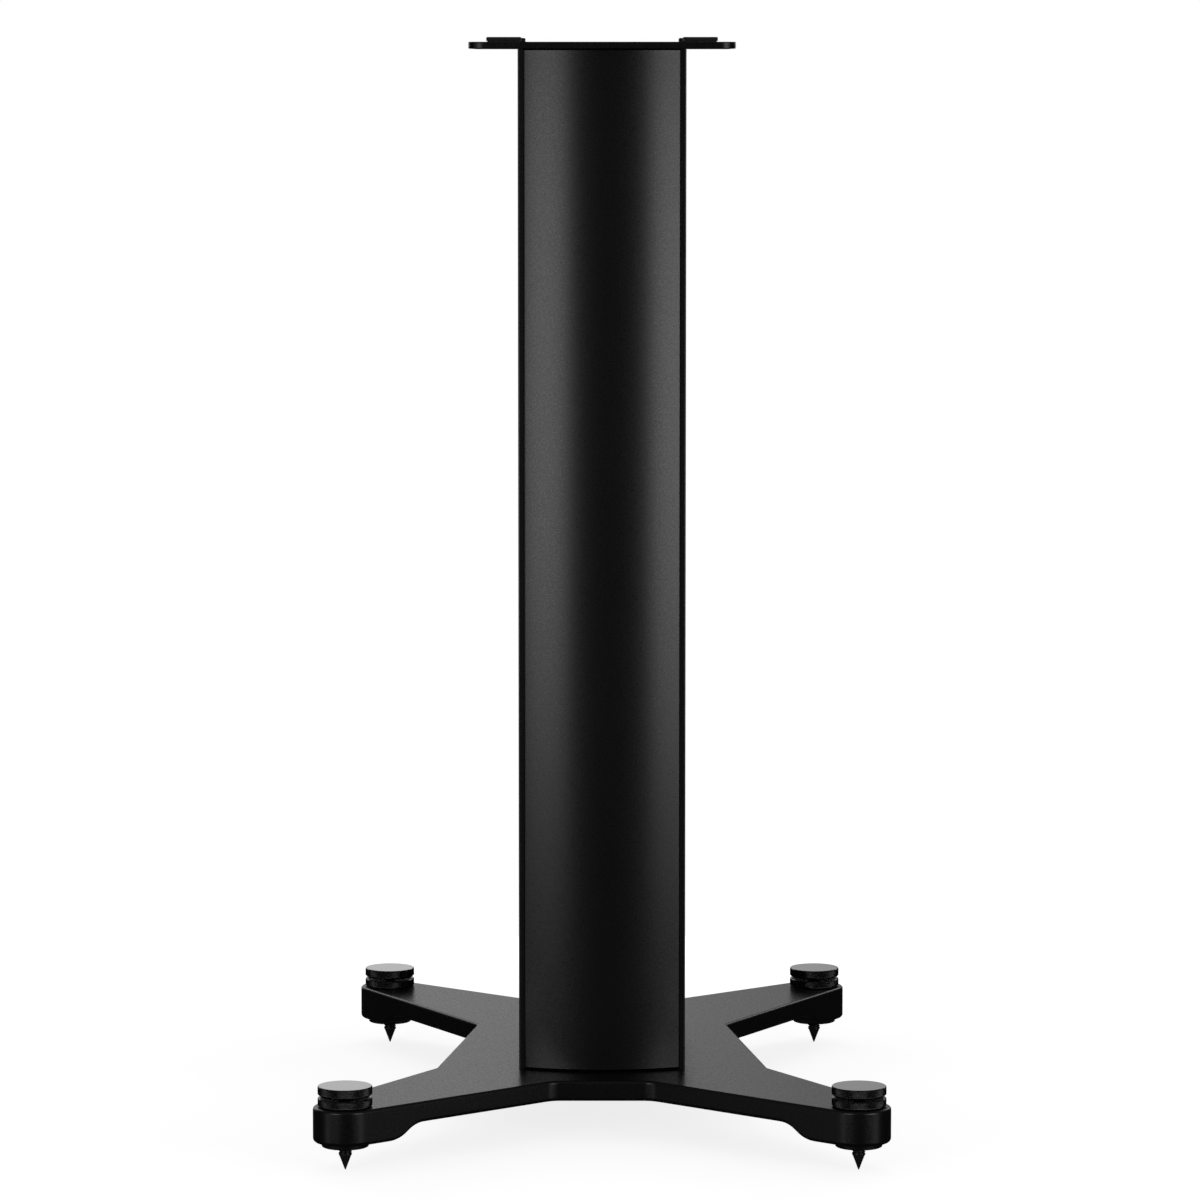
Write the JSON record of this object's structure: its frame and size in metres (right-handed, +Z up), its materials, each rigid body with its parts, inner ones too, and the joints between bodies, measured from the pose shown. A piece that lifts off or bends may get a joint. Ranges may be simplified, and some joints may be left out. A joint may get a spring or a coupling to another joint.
{
  "type": "speaker stand",
  "caption": "Speaker stand: flat top plate on an oblong column with a bowed front, on a four-armed base with levelling spikes, lock rings and knurled knobs.",
  "frame": {"origin": "on the floor, midway between the points of the four spikes", "axes": "+Z up, -Y to the front, +X to the right seen from the front"},
  "size_m": [0.3332, 0.4366, 0.65],
  "materials": {
    "base_coat": "fine textured satin black powder coat",
    "column_anodised": "fine blasted black anodising",
    "cover_anodised": "fine blasted satin black anodising",
    "plate_coat": "fine textured satin black powder coat",
    "pad_rubber": "matt black rubber",
    "tape_foam": "dark grey adhesive foam",
    "screw_black": "black oxide steel",
    "insert_black": "satin black plated steel",
    "spike_steel": "glossy black plated turned steel",
    "ring_knurled": "black anodised, diamond knurl on the rim",
    "knob_satin": "black anodised, smooth satin top, diamond knurl on the rim"
  },
  "bodies": {
    "stand": {"base_casting": "base_coat", "column_core": "column_anodised", "front_cover": "cover_anodised", "rear_cover": "cover_anodised", "top_plate": "plate_coat", "pad_tapes": "tape_foam", "column_screws": "screw_black", "plate_screws": "screw_black", "spike_inserts": "insert_black", "pad_front_left": "pad_rubber", "pad_front_right": "pad_rubber", "pad_rear_left": "pad_rubber", "pad_rear_right": "pad_rubber"},
    "spindle_front_left": {"spike_front_left": "spike_steel"},
    "knob_front_left": {"knob_front_left": "knob_satin"},
    "ring_front_left": {"lock_ring_front_left": "ring_knurled"},
    "spindle_front_right": {"spike_front_right": "spike_steel"},
    "knob_front_right": {"knob_front_right": "knob_satin"},
    "ring_front_right": {"lock_ring_front_right": "ring_knurled"},
    "spindle_rear_left": {"spike_rear_left": "spike_steel"},
    "knob_rear_left": {"knob_rear_left": "knob_satin"},
    "ring_rear_left": {"lock_ring_rear_left": "ring_knurled"},
    "spindle_rear_right": {"spike_rear_right": "spike_steel"},
    "knob_rear_right": {"knob_rear_right": "knob_satin"},
    "ring_rear_right": {"lock_ring_rear_right": "ring_knurled"}
  },
  "joints": [
    {"name": "spike_travel_front_left", "type": "slide", "parent": "stand", "child": "spindle_front_left", "axis": [0, 0, 1], "range_m": [-0.0006, 0.008]},
    {"name": "knob_turn_front_left", "type": "hinge", "parent": "spindle_front_left", "child": "knob_front_left", "pos_m": [-0.14805, -0.1997, 0.046], "axis": [0, 0, 1], "range_deg": [-170, 2300]},
    {"name": "ring_turn_front_left", "type": "hinge", "parent": "stand", "child": "ring_front_left", "pos_m": [-0.14805, -0.1997, 0.0398], "axis": [0, 0, 1], "range_deg": [0, 200]},
    {"name": "spike_travel_front_right", "type": "slide", "parent": "stand", "child": "spindle_front_right", "axis": [0, 0, 1], "range_m": [-0.0006, 0.008]},
    {"name": "knob_turn_front_right", "type": "hinge", "parent": "spindle_front_right", "child": "knob_front_right", "pos_m": [0.14805, -0.1997, 0.046], "axis": [0, 0, 1], "range_deg": [-170, 2300]},
    {"name": "ring_turn_front_right", "type": "hinge", "parent": "stand", "child": "ring_front_right", "pos_m": [0.14805, -0.1997, 0.0398], "axis": [0, 0, 1], "range_deg": [0, 200]},
    {"name": "spike_travel_rear_left", "type": "slide", "parent": "stand", "child": "spindle_rear_left", "axis": [0, 0, 1], "range_m": [-0.0006, 0.008]},
    {"name": "knob_turn_rear_left", "type": "hinge", "parent": "spindle_rear_left", "child": "knob_rear_left", "pos_m": [-0.1381, 0.1997, 0.046], "axis": [0, 0, 1], "range_deg": [-170, 2300]},
    {"name": "ring_turn_rear_left", "type": "hinge", "parent": "stand", "child": "ring_rear_left", "pos_m": [-0.1381, 0.1997, 0.0398], "axis": [0, 0, 1], "range_deg": [0, 200]},
    {"name": "spike_travel_rear_right", "type": "slide", "parent": "stand", "child": "spindle_rear_right", "axis": [0, 0, 1], "range_m": [-0.0006, 0.008]},
    {"name": "knob_turn_rear_right", "type": "hinge", "parent": "spindle_rear_right", "child": "knob_rear_right", "pos_m": [0.1381, 0.1997, 0.046], "axis": [0, 0, 1], "range_deg": [-170, 2300]},
    {"name": "ring_turn_rear_right", "type": "hinge", "parent": "stand", "child": "ring_rear_right", "pos_m": [0.1381, 0.1997, 0.0398], "axis": [0, 0, 1], "range_deg": [0, 200]}
  ],
  "couplings": [
    {"joint": "spike_travel_front_left", "follows": "knob_turn_front_left", "m_per_rad": 0.00019894},
    {"joint": "spike_travel_front_right", "follows": "knob_turn_front_right", "m_per_rad": 0.00019894},
    {"joint": "spike_travel_rear_left", "follows": "knob_turn_rear_left", "m_per_rad": 0.00019894},
    {"joint": "spike_travel_rear_right", "follows": "knob_turn_rear_right", "m_per_rad": 0.00019894}
  ]
}
